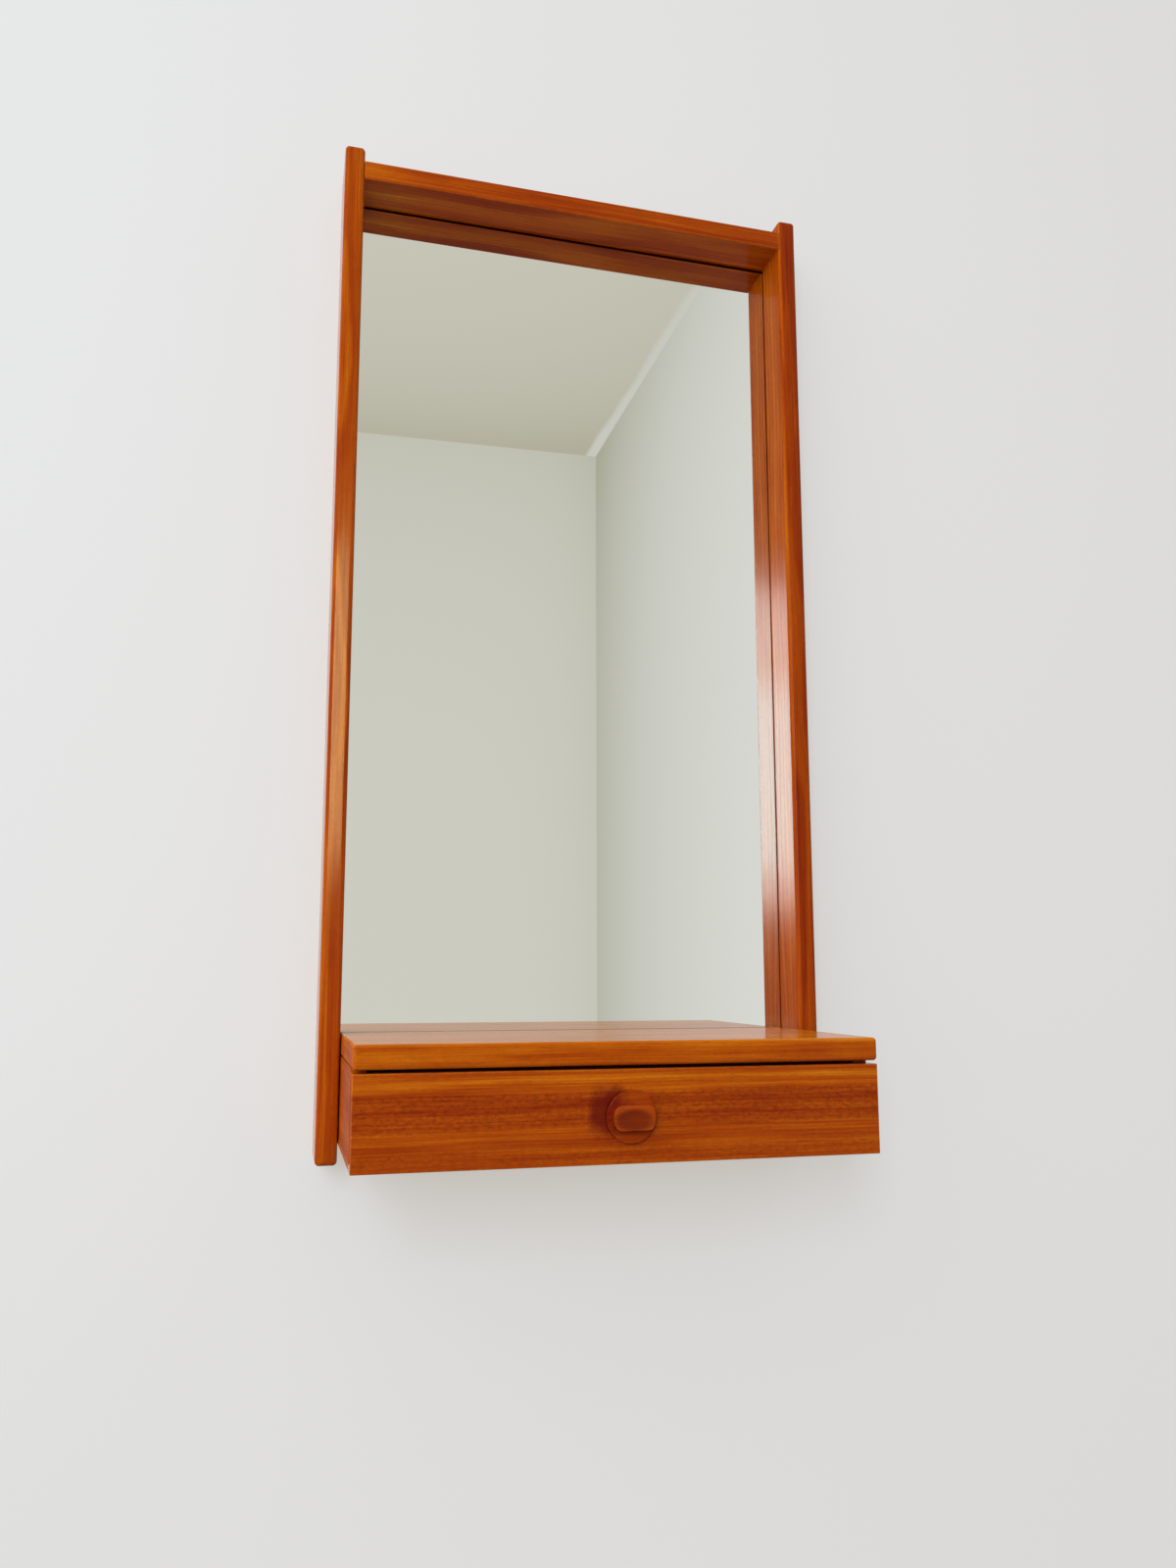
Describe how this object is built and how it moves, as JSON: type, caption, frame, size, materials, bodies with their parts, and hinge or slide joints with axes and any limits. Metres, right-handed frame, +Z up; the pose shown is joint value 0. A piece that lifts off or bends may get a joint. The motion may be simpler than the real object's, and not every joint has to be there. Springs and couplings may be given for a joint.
{
  "type": "wall mirror with shelf and drawer",
  "caption": "Wall mirror in a slim teak frame, with a shelf and a shallow drawer boxed in below the glass; hangs flat on keyhole plates let into the stiles.",
  "frame": {"origin": "on the wall plane, midway between the centres of the two hanger plates' round entry holes", "axes": "+X to the viewer's right along the wall, +Y back into the wall, +Z up along the stiles"},
  "size_m": [0.4, 0.1855, 0.813],
  "materials": {
    "teak": "semi-gloss lacquer over teak, fine straight grain",
    "beech": "plain planed beech",
    "plywood": "thin plywood, unfinished",
    "hardboard": "smooth brown hardboard",
    "mirror": "silvered glass",
    "steel": "bright zinc-plated steel"
  },
  "bodies": {
    "frame": {"left_stile": "teak", "right_stile": "teak", "top_rail": "teak", "lower_rail": "beech", "top_rail_dowels": "beech", "lower_rail_screws": "steel", "mirror_glass": "mirror", "mirror_backing": "hardboard", "backing_pins": "steel", "left_hanger_plate": "steel", "right_hanger_plate": "steel", "hanger_screws": "steel", "shelf": "teak", "shelf_screws": "steel", "left_case_side": "teak", "right_case_side": "teak", "case_dowels": "beech", "case_screws": "steel", "left_runner": "beech", "right_runner": "beech", "runner_screws": "steel"},
    "drawer": {"drawer_front": "teak", "left_drawer_side": "beech", "right_drawer_side": "beech", "drawer_back": "beech", "drawer_bottom": "plywood", "drawer_dowels": "beech", "drawer_back_pins": "steel", "drawer_bottom_pins": "steel", "drawer_knob": "teak", "knob_screw": "steel"}
  },
  "joints": [
    {"name": "drawer_slide", "type": "slide", "parent": "frame", "child": "drawer", "axis": [0, -1, 0], "range_m": [0, 0.09]}
  ]
}
